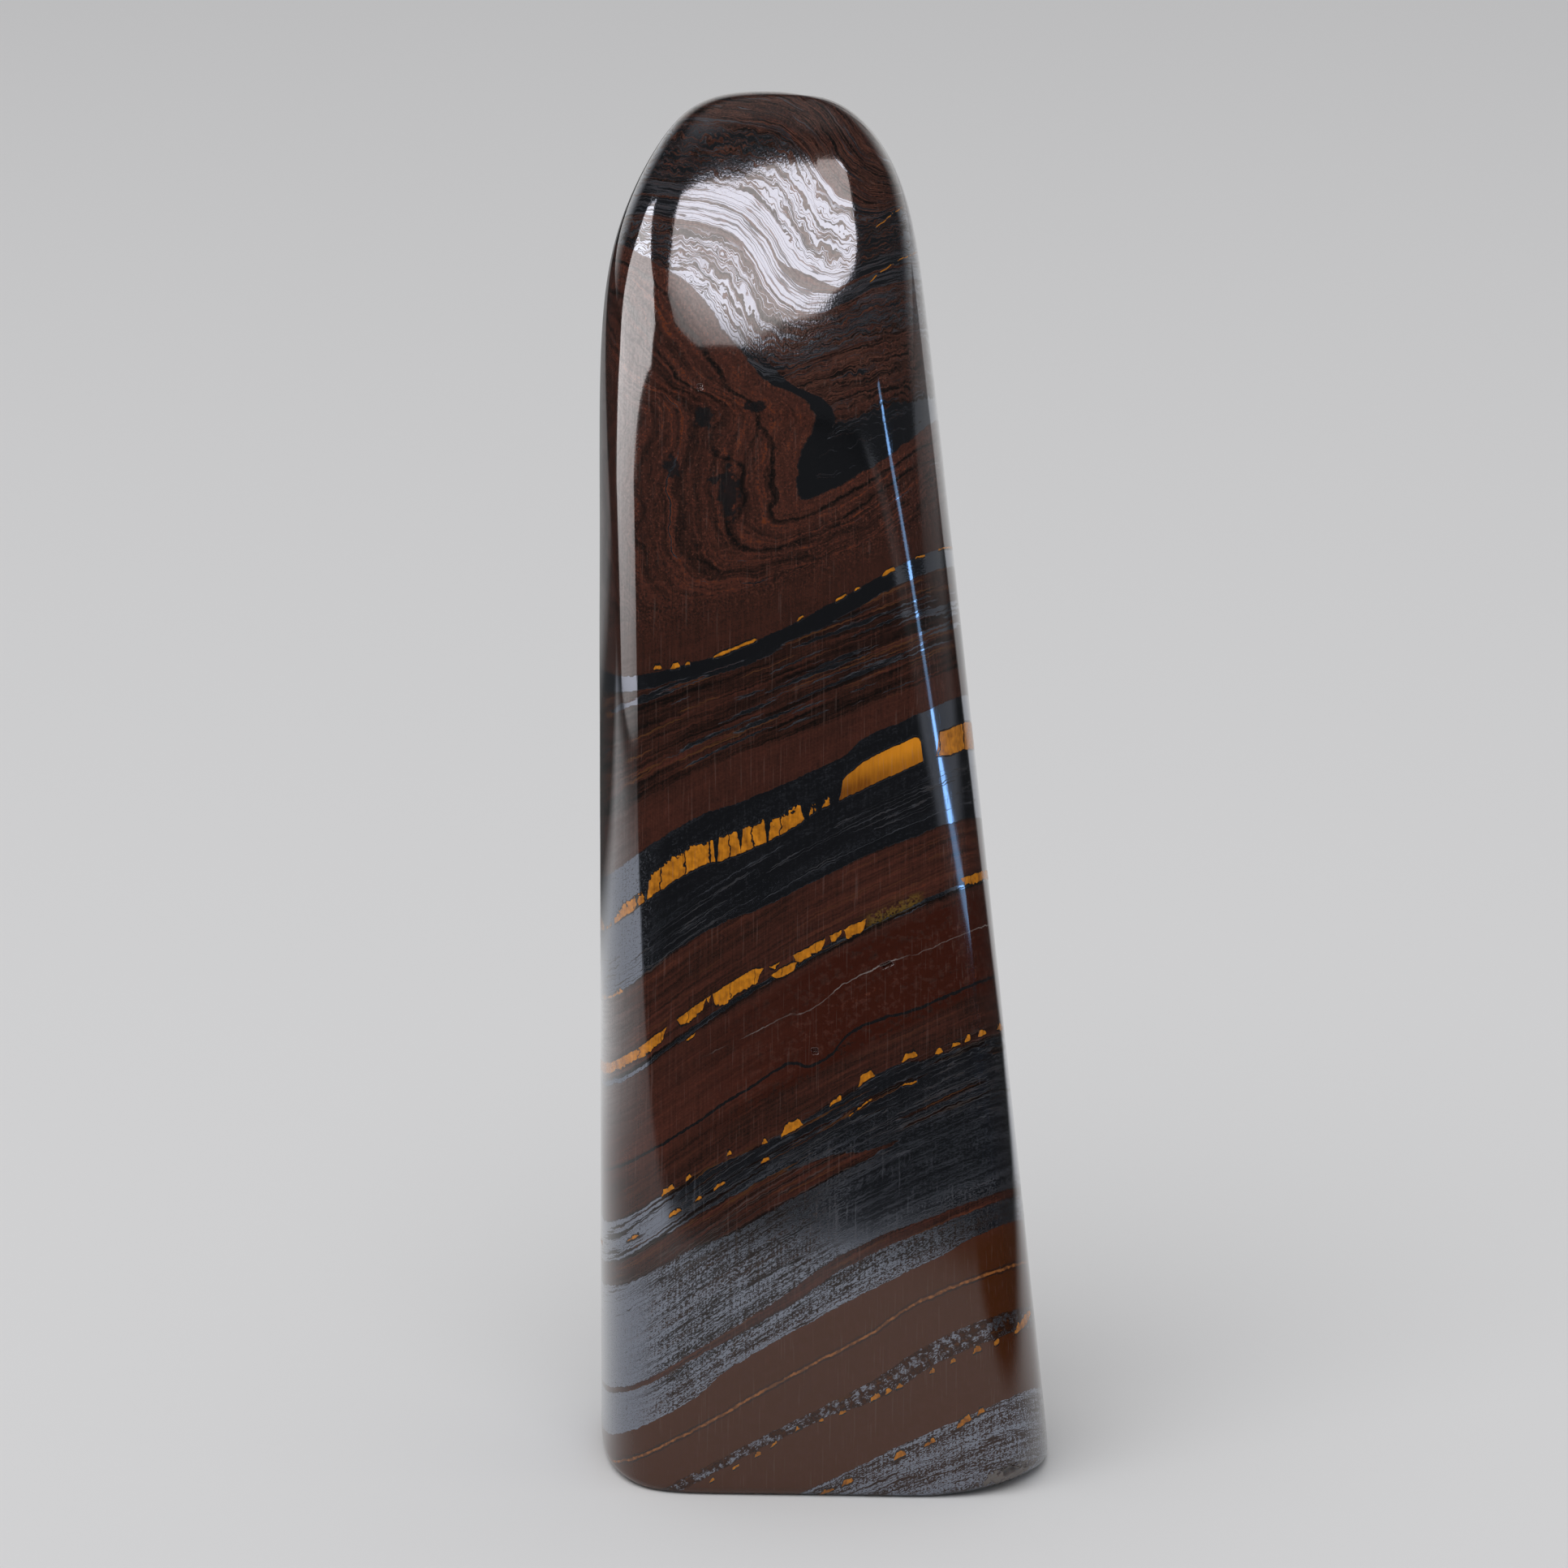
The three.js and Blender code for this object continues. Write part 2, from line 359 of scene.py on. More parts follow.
# Rows of golden tiger's eye. Each row stands on a line, or hangs from it, and is a string of pieces:
# (left end, right end, thickness). squareness says how blunt the ends of its pieces are, and ragged
# how uneven their far edges are. A row with an outline has its thickness drawn along it instead. What
# a row leaves out is as in PLAIN_ROW.
STANDING, HANGING = 1.0, -1.0
PLAIN_ROW = {"side": STANDING, "squareness": 0.2, "ragged": 0.5}
GOLD_ROWS = {
    "broad_gold": {
        "line": (
            (-20, 61.9), (-14, 62.0), (-8, 61.0), (-4, 60.5), (0, 61.0), (9, 61.1), (12, 60.7),
            (20, 60.8),
        ),
        "pieces": (
            (-21.0, -16.6, 1.0), (-16.5, -14.7, 0.75), (-14.6, -8.95, 1.6), (-8.8, -6.95, 1.75),
            (-6.8, -4.75, 1.85), (-4.45, -1.55, 1.35), (-1.05, -0.35, 0.55), (0.1, 0.7, 0.5),
        ),
        "squareness": 0.86,
        "ragged": 0.90,
    },
    "amber_lens": {
        "line": ((-20, 61.0), (1.4, 60.9), (5, 61.0), (9, 61.1), (12, 60.7), (20, 60.8)),
        "outline": (
            (-23.0, 0.0), (1.4, 0.0), (1.7, 1.5), (2.7, 2.1), (5.0, 2.55), (8.0, 2.5), (8.5, 1.5),
            (8.7, 0.0), (9.9, 0.0), (10.2, 2.1), (14.0, 2.4), (23.0, 2.4),
        ),
        "ragged": 0.10,
    },
    "beads": {
        "side": HANGING,
        "line": (
            (-20, 49.1), (-16, 50.3), (-7, 50.4), (-4, 49.6), (3, 49.4), (6, 49.7), (9, 49.2), (20, 49.5),
        ),
        "pieces": (
            (-22.8, -17.6, 0.85), (-17.5, -12.9, 0.95), (-12.6, -9.4, 0.85), (-9.9, -4.8, 1.35),
            (-4.7, -3.6, 0.15), (-2.75, 0.35, 0.85), (0.45, 1.6, 0.65), (1.65, 3.75, 0.95),
            (11.3, 21.0, 0.85),
        ),
        "squareness": 0.42,
        "ragged": 0.30,
    },
    "second_bead": {
        "side": HANGING,
        "line": ((-20, 47.6), (-5, 48.5), (-3.7, 49.0), (-2, 48.7), (20, 47.0)),
        "pieces": ((-11.8, -10.7, 0.2), (-4.6, -2.0, 0.75)),
        "ragged": 0.15,
    },
    "lumps_on_black_seam": {
        "line": (
            (-20, 35.9), (-11, 35.6), (-6, 34.8), (-3, 34.2), (1, 34.6), (7, 35.2), (10, 34.4),
            (20, 34.4),
        ),
        "pieces": (
            (-13.9, -12.7, 0.5), (-11.9, -11.3, 0.3), (-8.5, -7.9, 0.35), (-5.4, -4.8, 0.35),
            (-3.9, -1.7, 0.85), (0.3, 1.5, 0.35), (2.7, 4.4, 0.8), (6.4, 8.0, 0.5), (9.3, 10.2, 0.5),
            (10.7, 11.8, 0.4), (12.1, 12.7, 0.5), (13.4, 14.6, 0.4), (16.0, 18.0, 0.5),
        ),
    },
    "threads_in_black_seam": {
        "line": ((-20, 34.0), (-12, 33.3), (-6, 32.9), (0, 32.5), (5, 33.2), (8, 32.8), (20, 32.6)),
        "pieces": (
            (-19.0, -17.6, 0.25), (-16.4, -15.4, 0.25), (-13.4, -12.0, 0.30), (-11.2, -10.4, 0.15),
            (-9.6, -8.4, 0.28), (-5.6, -4.6, 0.2), (1.6, 4.4, 0.16), (6.3, 8.1, 0.16),
        ),
    },
    "left_patch": {
        "line": ((-20, 55.6), (-17, 55.9), (20, 55.9)),
        "pieces": ((-19.2, -17.0, 0.6), (-16.8, -16.2, 0.25)),
    },
    "top_gold": {
        "line": ((-20, 79.2), (-13.5, 77.9), (-10, 77.4), (-5, 77.65), (1.5, 78.5), (6.6, 79.0), (20, 79.4)),
        "pieces": (
            (-13.8, -13.2, 0.30), (-12.5, -11.6, 0.38), (-11.3, -10.9, 0.25), (-9.4, -4.8, 0.22),
            (-2.0, -1.3, 0.16), (1.2, 2.4, 0.16), (2.8, 3.5, 0.17), (5.2, 6.5, 0.30), (8.2, 9.7, 0.16),
            (10.6, 16.0, 0.16),
        ),
        "squareness": 0.4,
        "ragged": 0.12,
    },
    "dots_in_speckled_seam": {
        "line": ((-20, 7.0), (-6, 6.5), (-2.6, 6.9), (1, 6.5), (13, 6.4), (20, 8.2)),
        "pieces": (
            (-10.2, -9.7, 0.25), (-8.3, -7.6, 0.25), (-6.4, -5.7, 0.35), (-5.0, -4.3, 0.30),
            (-2.9, -2.2, 0.35), (-0.8, -0.3, 0.25), (0.9, 1.6, 0.30), (3.6, 4.6, 0.45), (4.8, 5.5, 0.35),
            (5.8, 6.5, 0.40), (8.6, 9.2, 0.30), (10.4, 11.0, 0.30), (12.4, 13.4, 0.60),
            (14.4, 15.0, 0.35), (16.4, 20.0, 0.75),
        ),
        "ragged": 0.65,
    },
    "bits_in_foot": {
        "line": ((-20, 0.1), (1, -0.1), (6, 0.25), (9, 0.45), (13, 1.3), (20, 1.8)),
        "pieces": (
            (-0.9, 0.6, 0.35), (0.9, 2.3, 0.45), (5.5, 6.7, 0.6), (8.0, 9.3, 0.35), (10.8, 12.4, 0.45),
            (12.7, 13.5, 0.45),
        ),
        "squareness": 0.3,
        "ragged": 0.4,
    },
}

# Dark spots in the fold, and the worn edge of the base: where they are and their half sizes.
DARK_SPOTS = (
    ((-8.0, -10.9, 87.7), (0.85, 3.0, 2.0)),
    ((-5.8, -10.6, 94.9), (0.9, 2.0, 0.5)),
    ((-10.1, -10.5, 94.0), (0.8, 2.0, 0.9)),
    ((-12.9, -10.5, 89.7), (0.6, 2.0, 0.8)),
    ((-9.3, -10.8, 88.6), (0.4, 2.0, 0.4)),
)
WORN_EDGE = ((16.4, -12.6, 1.5), (2.9, 3.0, 0.8))

# The hairline crack, the dark line below it and the rusty line in the low jasper.
CRACK = ((-10, 45.4), (-6, 44.8), (-3, 44.6), (-1, 44.0), (2, 44.6), (5, 44.6), (9, 44.1), (20, 44.3))
DARK_LINE = (
    (-20, 40.9), (-7, 40.1), (-3.5, 40.4), (-0.6, 38.9), (1, 39.2), (3, 40.0), (9, 39.2), (20, 39.4),
)
RUSTY_LINE = ((-20, 13.2), (-12, 12.4), (3, 12.3), (9, 13.0), (20, 12.8))

# Thin golden lines in the crown's right shoulder: (left end, right end, height at the left end, climb).
CROWN_GOLD = ((3.9, 8.0, 106.3, 0.74), (4.1, 6.3, 110.6, 0.95))

# Hollows that the polish didn't reach: the centre of the mouth, its half length, half height and
# depth, and how far its length climbs to the right, in degrees.
HOLLOWS = (
    {"name": "pit_on_crack", "centre": (5.3, -12.9, 47.2), "sizes": (0.62, 0.22, 0.45), "climb": 22},
    {"name": "pit_in_red_jasper", "centre": (-0.8, -13.0, 39.6), "sizes": (0.32, 0.28, 0.30), "climb": 0},
    {"name": "pit_in_fold", "centre": (-10.5, -10.3, 96.5), "sizes": (0.25, 0.30, 0.22), "climb": 0},
    {"name": "chip_at_foot", "centre": (16.2, -13.1, 2.1), "sizes": (0.85, 0.65, 0.50), "climb": 10},
    {"name": "chip_beside", "centre": (17.6, -12.0, 2.0), "sizes": (0.50, 0.35, 0.30), "climb": 20},
)

# ---- Measures of the rock ----------------------------------------------------------------------
# In millimetres. A step is where it starts and where it ends. A belt is its middle, its half width
# and its blur.
FRONT_FACE = -13.0  # the broad front face, about half way up

# Noise all through the stone: lumps to a millimetre, detail, and the strength of the detail.
SLOW = (0.10, 0.0, 0.5)
WANDER = (0.30, 1.0, 0.5)
QUICK = (0.90, 1.0, 0.5)
RAGGED = (2.8, 1.0, 0.5)
MOTTLE = (1.6, 2.0, 0.6)
FRECKLE = (5.0, 1.0, 0.6)

# Noise drawn out into sheets, or for the scoring and the fibre into threads across them: lumps to a
# millimetre along the sheets and through them, detail, and the strength of the detail.
SCORING = (6.0, 0.06, 1.0, 0.6)
CRUMPLE = (1.2, 0.45, 1.0, 0.6)
BROAD_LAMINAE = (0.05, 0.8, 2.0, 0.6)
FINE_LAMINAE = (0.14, 3.0, 1.0, 0.6)
HAIR_LAMINAE = (0.25, 5.5, 1.0, 0.5)
OTHER_LAMINAE = (0.06, 1.7, 2.0, 0.7)
GRAIN = (5.5, 11.0, 1.0, 0.6)
FIBRE = (5.0, 0.5, 1.0, 0.6)

# The bedding. A climb is to the right, a dip to the back, both to a millimetre.
BEND = (45.0, 76.0)  # the lower stone's climb and sag give way to the upper stone's
LOWER_CLIMB, UPPER_CLIMB = 0.50, 0.41
LOWER_SAG, UPPER_SAG = 0.006, -0.004
FOOT_BEND, FOOT_CLIMB = (2.0, 16.0), 0.07
DIP, DIP_TO_THE_RIGHT = 0.22, 0.006
FOLD_STARTS = (79.5, 82.5)

# The fold's core: the lean of its left limb, and the height, climb and growing climb of its right one.
LEFT_LEAN = 0.55
RIGHT_LIMB_HEIGHT, RIGHT_LIMB_CLIMB, RIGHT_LIMB_CURVE = 88.0, 0.5, 0.02
HINGE_ROUNDING, HINGE_OPENING = 0.5, 0.85
CORE_RIM = (0.10, -0.10)
BLACK_RIM = (-0.5, 0.35, 0.12)
RIM_ENDS_BEHIND = (6.0, 0.0)

# The crown: how far its beds shear to the right with height, and which of them are crumpled.
CROWN_SHEAR, SHEAR_LEVEL = 0.55, 104.0
CRUMPLED_BELOW = (-2.8, 1.8, 0.8)
CRUMPLED_ABOVE = (5.8, 2.0, 0.7)
CRUMPLED_CORE = (-5.0, -7.0)
THREADED_CROWN = (-6.5, -4.5)
CRINKLED_CORE = (-13.0, -10.0)

# Numbers that set the noise of one stack of sheets apart from another's.
WRAP_SHEETS, CORE_SHEETS, OTHER_SHEETS = 200.0, 300.0, 57.0

# Belts of height, and parts of the front, that have a look of their own.
SPECKLED_SEAM = (8.0, 1.7, 0.2)
RUDDY_HEIGHTS, RUDDY_FRONT = (42.8, 4.2, 1.0), (-14.0, 2.0)
WARM_HEIGHTS = (19.0, 15.0)
OCHRE_HEIGHTS = (82.0, 79.0)
GRAINY_HEIGHTS, GRAINY_FRONT = (33.0, 29.0), (-19.0, -12.0)
SMOOTH_HEIGHTS, SMOOTH_FRONT = (18.0, 23.0), (-4.0, 5.0)
DULLED_HEIGHTS = (80.0, 66.0)
SCRATCHED_LEFT = (-13.5, -15.5)
PALE_LINED = ((57.6, 1.6, 0.4), (31.0, 3.5, 1.0))
CRACK_STARTS = (-11.0, -7.0)
BROKEN_GOLD, BEAD_ROW = (61.8, 1.6, 0.3), (49.8, 1.2, 0.3)
LENS_ALONG, LENS_HEIGHTS = (5.0, 4.1, 0.4), (62.3, 1.9, 0.3)
OLIVE_ALONG, OLIVE_HEIGHTS = (6.0, 1.6, 1.2), (49.1, 0.30, 0.45)
DULLER_GOLD = (42.0, 10.0)

# Rows of gold: how far from the axis a row's line ends, outside the stone, and how far along its
# rounded end a piece has reached what share of its thickness.
ROW_END = 23.0
SHOULDER_AT, SHOULDER_THICKNESS = 0.45, 0.7
GOLD_SLANT = 0.3  # a row shifts this much to the left, to a millimetre towards the back

# The polish. The relief of scratches, grains and crinkles is in millimetres.
SCRATCH_RELIEF, GRAIN_RELIEF, CRINKLE_RELIEF = -0.0018, 0.0016, 0.0024
LOW_BEDS = (40.0, 22.0)
CRINKLED_SKIN = (66.0, 84.0)
COATED_HEIGHTS = (68.0, 96.0)
COATED_LEFT, COATED_LEFT_HEIGHTS = (-14.5, -17.0), (26.0, 40.0)
STONE_IOR = 1.54
COAT_IOR = 1.80
COAT_ROUGHNESS = 0.045


# ---- The rock ----------------------------------------------------------------------------------
def row_profile(pieces, squareness):
    """Points of a line that gives the thickness of a row of pieces. The ends of a piece are rounded."""
    points = [(-ROW_END, 0.0)]
    for left, right, thickness in pieces:
        end = (right - left) * 0.5 * (1.0 - squareness)
        shoulder = end * SHOULDER_AT
        thin = thickness * SHOULDER_THICKNESS
        points += [(left, 0.0), (left + shoulder, thin), (left + end, thickness)]
        points += [(right - end, thickness), (right - shoulder, thin), (right, 0.0)]
    return points + [(ROW_END, 0.0)]


class Ironstone(Recipe):
    """Polished banded ironstone. Its beds are laid first, then each method adds to its colour and to
    metal, the share of it that is hematite."""

    def __init__(self):
        super().__init__(bpy.data.materials.new("banded_ironstone"))
        scaled = {"Vector": self.coordinates(), "Scale": 1.0 / MM}
        self.point = self.node("ShaderNodeVectorMath", {"operation": "SCALE"}, scaled)
        self.x, self.y, self.z = self.parts("ShaderNodeSeparateXYZ", {"Vector": self.point})
        self.behind = self.y - FRONT_FACE
        self.slow = self.cloud(self.point, *SLOW).swing()
        self.wander = self.cloud(self.point, *WANDER).swing()
        self.quick = self.cloud(self.point, *QUICK).swing()
        self.ragged = self.cloud(self.point, *RAGGED).swing()
        self.mottle = self.cloud(self.point, *MOTTLE)
        self.freckle = self.cloud(self.point, *FRECKLE)
        self.scored = self.sheets(self.z, *SCORING)
        self.measure_beds()
        self.measure_fold()
        self.measure_crown()
        self.lay_rock()
        self.make_laminae()
        self.laminate()
        self.speckle_seam()
        self.tone_jasper()
        self.vary_jasper()
        self.darken_spots()
        self.wear_edge()
        self.stain_lines()
        self.grain_hematite()
        self.whiten_lines()
        self.fill_crack()
        self.set_gold()
        self.thread_crown()
        self.tint_hematite()
        self.polish()

    # -- Tools --
    def sheets(self, height, spread, fineness, detail, coarse):
        """Noise drawn out along sheets: spread and fineness are its lumps to a millimetre along and
        through them."""
        place = self.spot(self.x * spread, self.y * spread, height * fineness)
        return self.cloud(place, 1.0, detail, coarse)

    def blend(self, **shares):
        """The stone's own noises and masks of the given names, each times its share, added up."""
        first, *others = (getattr(self, name) * share for name, share in shares.items())
        return sum(others, first)

    def where(self, bedded, folded):
        """A number that has one value in the flat beds and another in the fold."""
        return self.mix(bedded, folded, self.folded)

    def lay_strata(self, height, strata, across):
        """The rock at a height in a stack of strata, as a colour that holds the rock's three numbers."""
        layers = list(strata.values())
        rock = layers[0][2]
        for (end, blur, _), (_, _, above) in zip(layers, layers[1:]):
            over = height - (self.drawn(across, end) if isinstance(end, tuple) else end)
            rock = self.tint(rock, above, over.rise(-blur, blur))
        return rock

    def blot(self, centre, size):
        """1 in a ragged spot of the given half sizes."""
        away = self.node("ShaderNodeVectorMath", {"operation": "SUBTRACT"}, {0: self.point, 1: centre})
        scaled = self.node("ShaderNodeVectorMath", {"operation": "DIVIDE"}, {0: away, 1: size})
        reach = self.node("ShaderNodeVectorMath", {"operation": "LENGTH"}, {0: scaled}, "Value")
        return (reach + self.mottle.swing() * 2.6 + self.ragged).rise(1.15, 0.75)

    def over_line(self, line):
        """Height over a line drawn across the front."""
        return self.height - self.drawn(self.x, line)

    def paint(self, colour, share):
        """Colours a share of the stone, whatever it is made of."""
        self.colour = self.tint(self.colour, colour, share)

    def dull_metal(self, share):
        """Takes a share of the hematite away."""
        self.metal = self.metal * (1.0 - share)

    # -- Where a point lies in the beds --
    def measure_beds(self):
        """Height of the bed that passes through a point. The beds climb to the right and to the front."""
        upper = self.z.rise(*BEND)
        lower = 1.0 - upper
        climb = (LOWER_CLIMB + FOOT_CLIMB * self.z.rise(*FOOT_BEND)) * lower + UPPER_CLIMB * upper
        sag = LOWER_SAG * lower + UPPER_SAG * upper
        dip = DIP + DIP_TO_THE_RIGHT * self.x
        self.even = self.z - climb * self.x + sag * self.x * self.x + dip * self.behind
        self.height = self.even + self.blend(slow=0.5, quick=0.30, ragged=0.24)
        self.folded = self.height.rise(*FOLD_STARTS)

    def measure_fold(self):
        """Distance from the rim of the fold's core: a left limb, drawn by height, and a right one that
        climbs, with a rounded hinge where they meet."""
        self.level = self.z + DIP * self.behind + self.slow * 0.5
        left = (self.drawn(self.level, LEFT_LIMB) - self.x) * LEFT_LEAN
        far = self.x.at_least(0.0)
        right = RIGHT_LIMB_HEIGHT + RIGHT_LIMB_CLIMB * self.x + RIGHT_LIMB_CURVE * far * far - self.level
        rounding = HINGE_ROUNDING + HINGE_OPENING * (left + right).at_least(0.0)
        gap = left - right
        wrap = (left + right + (gap * gap + rounding * rounding).root()) * 0.5
        wavy = self.wander * wrap.rise(0.5, 4.0) * 1.1
        self.wrap = wrap + wavy + self.blend(quick=0.45, ragged=0.16)
        self.inside = self.wrap.rise(*CORE_RIM)
        self.core = self.inside * self.folded

    def measure_crown(self):
        """Height over the crown's lower bright band. Some of the beds above and below it are crumpled."""
        self.sheared = self.x - CROWN_SHEAR * (self.level - SHEAR_LEVEL)
        bed = self.level - self.drawn(self.sheared, CROWN_BED) + self.wander * 0.5
        crumpled = bed.near(*CRUMPLED_BELOW).at_least(bed.near(*CRUMPLED_ABOVE))
        self.crumpled = crumpled.at_least(bed.rise(*CRUMPLED_CORE))
        large = self.sheets(bed, *CRUMPLE).swing() * (0.2 + 1.25 * self.crumpled)
        small = self.ragged * (0.10 + 0.22 * self.crumpled)
        self.crown = bed + self.quick * 0.25 + large + small

    # -- What lies there --
    def lay_rock(self):
        """The rock's three numbers: its share of hematite, its redness and its striping."""
        rock = self.lay_strata(self.height, STRATA, self.x)
        rock = self.tint(rock, self.lay_strata(self.wrap, FOLD_WRAP, self.level), self.folded)
        core = self.lay_strata(self.crown, FOLD_CORE, self.sheared)
        core = self.tint(core, BLACK, self.wrap.near(*BLACK_RIM) * self.y.rise(*RIM_ENDS_BEHIND))
        rock = self.tint(rock, core, self.core)
        self.share, self.redness, self.striping = self.parts("ShaderNodeSeparateColor", {"Color": rock})

    def make_laminae(self):
        """Noises in thin sheets that follow the strata: broad, fine and hair-thin, and another set."""
        folds = self.mix(WRAP_SHEETS + self.wrap, CORE_SHEETS + self.crown, self.inside)
        sheet = self.where(self.height, folds)
        self.broad = self.sheets(sheet, *BROAD_LAMINAE)
        self.fine = self.sheets(sheet, *FINE_LAMINAE)
        self.hair = self.sheets(sheet, *HAIR_LAMINAE)
        self.other = self.sheets(sheet + OTHER_SHEETS, *OTHER_LAMINAE)

    def laminate(self):
        """Splits the rock into laminae of hematite and of jasper. In the crown, fine threads of each
        run through the other."""
        flat = self.blend(broad=0.50, fine=0.35, hair=0.15)
        lamina = self.where(flat, self.blend(broad=0.2, fine=0.45, hair=0.35)).swing()
        metal = (self.share + self.striping * lamina * 3.2).rise(0.44, 0.56)
        lines = self.fine.near(0.5, 0.018, 0.03).at_least(self.other.near(0.46, 0.010, 0.018) * 0.9)
        in_crown = self.core * self.crown.rise(*THREADED_CROWN)
        thread = lines * in_crown * (0.45 + 0.50 * self.crumpled)
        self.metal = metal + thread * (1.0 - 2.0 * metal)

    def speckle_seam(self):
        """One low seam is a speckle of the two, with black between them."""
        self.seam = self.striping.rise(0.5, 0.8) * self.height.near(*SPECKLED_SEAM)
        speckle = 0.3 + 0.6 * self.mottle.rise(0.42, 0.57)
        self.metal = self.mix(self.metal, speckle, self.seam)

    # -- Jasper --
    def tone_jasper(self):
        """Jasper, with laminae of a deeper or a redder tone. It is more varied in the fold."""
        laminae = self.other.swing() * self.where(1.3, 0.65) + self.fine.swing() * 0.85
        laminae = laminae + self.hair.swing() * self.where(0.8, 1.3)
        tone = self.redness + self.mottle.swing() * self.where(0.16, 0.50) + self.slow * 0.10
        tone = tone + self.striping * laminae + self.freckle.swing() * self.where(0.36, 0.76)
        tone = tone + self.scored.swing() * 0.40 + self.wander * self.where(0.18, 0.0) - 0.015
        self.colour = self.node("ShaderNodeValToRGB", {"stops": JASPER_TONES}, {"Fac": tone})

    def vary_jasper(self):
        """Pale freckles in the fold, a deep red belt, a warmer foot, and crinkles in the fold's core."""
        self.paint(PALE_FRECKLE, self.freckle.rise(0.62, 0.74) * self.folded * 0.35)
        ruddy = self.height.near(*RUDDY_HEIGHTS) * self.x.rise(*RUDDY_FRONT)
        self.paint(DEEP_RED, ruddy * self.mottle.rise(0.36, 0.52) * 0.85)
        self.paint(WARM_BROWN, self.height.rise(*WARM_HEIGHTS) * (0.35 + self.mottle))
        crinkle = self.hair.near(0.5, 0.03, 0.04) * self.core * self.crown.rise(*CRINKLED_CORE)
        self.paint(PALE_FRECKLE, crinkle * 0.45)

    def darken_spots(self):
        """Dark spots and dark freckles in the fold."""
        spots = 0.0
        for centre, size in DARK_SPOTS:
            spots = self.blot(centre, size).at_least(spots)
        freckles = self.freckle.rise(0.37, 0.27) * self.folded
        self.paint(BLACK_GRAIN, (spots * 0.9).at_least(freckles * 0.6))

    def wear_edge(self):
        """The base is worn pale where it is chipped."""
        self.worn = self.blot(*WORN_EDGE)
        self.paint(WORN_STONE, self.worn * 0.8)
        self.dull_metal(self.worn * 0.9)

    def stain_lines(self):
        """Thin ochre laminae, the rusty line with dark edges, the dark line, and the seam's black."""
        ochre = self.other.near(0.62, 0.010, 0.02) * self.striping.rise(0.4, 0.9)
        self.paint(OCHRE, ochre * self.height.rise(*OCHRE_HEIGHTS) * 0.6)
        beside = self.over_line(RUSTY_LINE)
        self.paint(BLACK_GRAIN, beside.near(0.0, 0.30, 0.08) * (0.15 + 0.75 * self.fine))
        rusty = beside.near(0.0, 0.07, 0.10) * (0.40 + 0.60 * self.mottle.rise(0.42, 0.58))
        self.paint(RUST, rusty * 0.7)
        self.paint(BLACK_GRAIN, self.over_line(DARK_LINE).near(0.0, 0.08, 0.12))
        self.paint(BLACK_GRAIN, self.seam * self.mottle.near(0.45, 0.02, 0.03) * 0.45)

    # -- Hematite --
    def grain_hematite(self):
        """Dark grains, veins and scratches that take no polish among the hematite. There are most in the
        low beds, apart from a smooth part on the right."""
        self.grain = self.sheets(self.even, *GRAIN)
        self.smooth = self.x.rise(*SMOOTH_FRONT) * self.height.rise(*SMOOTH_HEIGHTS)
        low = self.height.rise(*GRAINY_HEIGHTS) * self.x.rise(*GRAINY_FRONT) * (1.0 - self.smooth * 0.85)
        uneven = self.blend(grain=0.7, scored=0.25, broad=0.25, fine=0.3) - 0.75
        pitted = (uneven - (1.0 - low) * 0.085).rise(-0.07, 0.09) * (0.06 + low * 0.64)
        veins = self.other.near(0.5, 0.008, 0.014) * low * 0.7
        scratches = self.blend(scored=0.25, grain=0.75).rise(0.47, 0.34) * self.x.rise(*SCRATCHED_LEFT)
        dull = pitted.at_least(veins).at_least(scratches * 0.40)
        self.dull = dull * self.height.rise(*DULLED_HEIGHTS) * self.metal
        self.paint(BROWN_GRAIN, self.dull)
        self.dull_metal(self.dull)

    def whiten_lines(self):
        """Thin pale lines in two belts of the hematite."""
        over, under = (self.height.near(*belt) for belt in PALE_LINED)
        pale = self.other.near(0.44, 0.006, 0.014) * over.at_least(under)
        self.dull_metal(pale * 0.5)
        self.paint(QUARTZ, pale * 0.14)

    def fill_crack(self):
        """The crack is filled with pale quartz, which is missing in places."""
        crack = self.over_line(CRACK).near(0.0, 0.025, 0.05) * self.x.rise(*CRACK_STARTS)
        self.paint(QUARTZ, crack * self.other.rise(0.36, 0.56) * 0.85)

    # -- Tiger's eye --
    def set_gold(self):
        """Golden tiger's eye in its rows, each piece with a dark rind, and olive fuzz past the beads."""
        along = self.x + GOLD_SLANT * self.behind
        lens = along.near(*LENS_ALONG) * self.height.near(*LENS_HEIGHTS)
        pieces, rind = self.rows_of_gold(along)
        self.gold = pieces * (1.0 - self.cracks_in_gold(along) * (1.0 - lens))
        self.paint(BLACK_GRAIN, rind)
        # The gold runs from deep to bright with a painted sheen, brightest in the lens's painted highlight.
        self.paint(self.tint(GOLD_DEEP, GOLD_BRIGHT, self.gold_tone_and_painted_sheen(along, lens)), self.gold)
        fuzz = self.blend(freckle=0.6, mottle=0.4).rise(0.38, 0.58)
        olive = self.height.near(*OLIVE_HEIGHTS) * along.near(*OLIVE_ALONG) * fuzz
        self.paint(OLIVE, olive * 0.8)
        self.dull_metal(rind.at_least(olive).at_least(self.gold))

